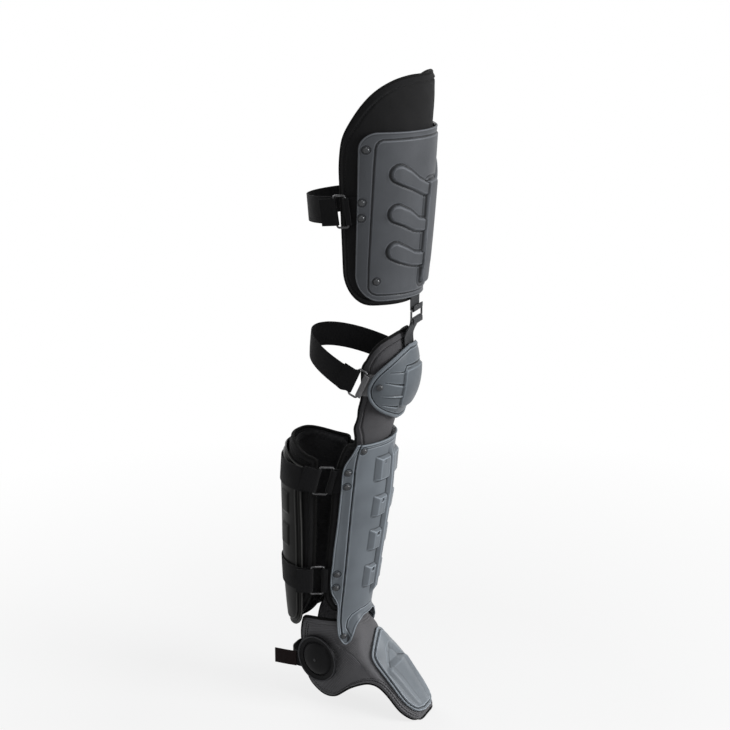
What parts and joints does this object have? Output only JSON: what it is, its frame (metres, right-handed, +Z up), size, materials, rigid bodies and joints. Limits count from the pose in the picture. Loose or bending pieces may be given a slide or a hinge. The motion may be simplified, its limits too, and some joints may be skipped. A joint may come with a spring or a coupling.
{
  "type": "leg guard",
  "caption": "Hard-shell guard for one leg: hinged thigh, knee, shin, calf and foot sections with padding, webbing straps and wire loops.",
  "frame": {"origin": "midway between the two side rivets of the knee cup, inside the wearer's knee", "axes": "+X towards the toe, +Z up the leg, -Y to the outer side of a right leg, where the strap loops are"},
  "size_m": [0.2481, 0.17, 0.9589],
  "materials": {
    "grey_shell": "blue-grey moulded plastic, satin",
    "dark_shell": "dark grey moulded plastic, satin",
    "black_shell": "black moulded plastic, satin",
    "ankle_disc": "black moulded plastic, satin",
    "rivet": "dark painted rivet heads, half gloss",
    "wire": "black coated steel wire",
    "padding": "black fabric over foam, bound and stitched edges",
    "webbing": "black woven webbing"
  },
  "bodies": {
    "shin_guard": {"shin_plate": "grey_shell", "shin_pad": "padding", "shin_rivet_outer_1": "rivet", "shin_rivet_outer_2": "rivet", "shin_rivet_outer_3": "rivet", "shin_rivet_outer_4": "rivet", "shin_rivet_outer_5": "rivet", "shin_rivet_inner_1": "rivet", "shin_rivet_inner_2": "rivet", "shin_rivet_inner_3": "rivet", "shin_rivet_inner_4": "rivet", "shin_rivet_inner_5": "rivet", "shin_tongue_rivet_outer": "rivet", "shin_tongue_rivet_inner": "rivet", "shin_loop_upper": "wire", "shin_loop_lower": "wire", "shin_tab_outer_upper": "webbing", "shin_tab_outer_lower": "webbing", "shin_tab_inner_upper": "webbing", "shin_tab_inner_lower": "webbing"},
    "knee_guard": {"knee_cup": "grey_shell", "knee_pad": "padding", "knee_rivet_outer": "rivet", "knee_rivet_inner": "rivet", "knee_loop": "wire", "knee_tab": "webbing", "knee_strap": "webbing", "link_web_lower": "webbing"},
    "link": {"link_ring": "wire"},
    "thigh_guard": {"thigh_plate": "dark_shell", "thigh_pad": "padding", "thigh_rivet_outer_1": "rivet", "thigh_rivet_outer_2": "rivet", "thigh_rivet_outer_3": "rivet", "thigh_rivet_outer_4": "rivet", "thigh_rivet_inner_1": "rivet", "thigh_rivet_inner_2": "rivet", "thigh_rivet_inner_3": "rivet", "thigh_rivet_inner_4": "rivet", "thigh_loop": "wire", "thigh_tab": "webbing", "thigh_strap": "webbing", "link_web_upper": "webbing"},
    "calf_guard": {"calf_plate": "black_shell", "calf_pad": "padding", "calf_strap_upper": "webbing", "calf_strap_lower": "webbing"},
    "foot_guard": {"foot_pad": "padding", "instep_plate": "grey_shell", "ankle_ring_outer": "ankle_disc", "ankle_dome_outer": "ankle_disc", "ankle_ring_inner": "ankle_disc", "ankle_dome_inner": "ankle_disc", "heel_strap": "webbing", "heel_tail": "webbing"}
  },
  "joints": [
    {"name": "knee_bend", "type": "hinge", "parent": "shin_guard", "child": "knee_guard", "pos_m": [-0.046, 0, -0.066], "axis": [0, -1, 0], "range_deg": [0, 40]},
    {"name": "link_lower", "type": "hinge", "parent": "knee_guard", "child": "link", "pos_m": [0.033, 0, 0.092], "axis": [0, -1, 0], "range_deg": [-25, 30]},
    {"name": "link_upper", "type": "hinge", "parent": "link", "child": "thigh_guard", "pos_m": [0.033, 0, 0.107], "axis": [0, -1, 0], "range_deg": [-15, 22]},
    {"name": "calf_swing", "type": "hinge", "parent": "shin_guard", "child": "calf_guard", "pos_m": [-0.08917, 0.05731, -0.2285], "axis": [-0.0662, -0.0521, -0.9965], "range_deg": [0, 70]},
    {"name": "foot_swing", "type": "hinge", "parent": "shin_guard", "child": "foot_guard", "pos_m": [-0.06136, 0, -0.398], "axis": [0, -1, 0], "range_deg": [-8, 8]}
  ]
}
